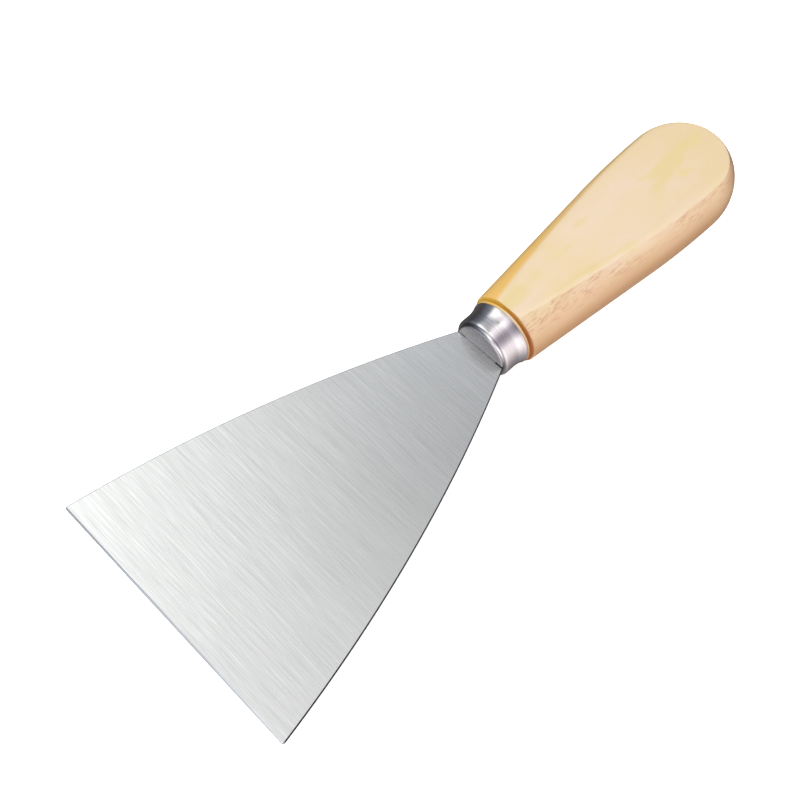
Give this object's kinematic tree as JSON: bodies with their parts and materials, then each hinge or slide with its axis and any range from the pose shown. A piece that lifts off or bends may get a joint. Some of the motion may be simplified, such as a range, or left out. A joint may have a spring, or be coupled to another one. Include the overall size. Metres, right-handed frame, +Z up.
{
  "type": "putty knife",
  "caption": "Putty knife with a flexible fan-shaped steel blade, a steel ferrule and a flat-sided wooden handle, for filling and scraping.",
  "frame": {"origin": "point on the bench surface under the middle of the tool's box, with the tool lying as it rests by itself", "axes": "+X along the tool from the butt towards the blade's tip, +Y across the blade, +Z up from the bench; the tool's own axis dips 4.9 degrees towards the tip"},
  "size_m": [0.1928, 0.076, 0.0264],
  "materials": {
    "blade_steel": "fine satin brushing across the blade",
    "ferrule_steel": "polished nickel plate",
    "handle_wood": "clear gloss lacquer on pale beech",
    "resin": "cured tang resin"
  },
  "bodies": {
    "root": {"blade": "blade_steel", "ferrule": "ferrule_steel", "handle": "handle_wood", "tang_adhesive": "resin"}
  },
  "joints": []
}
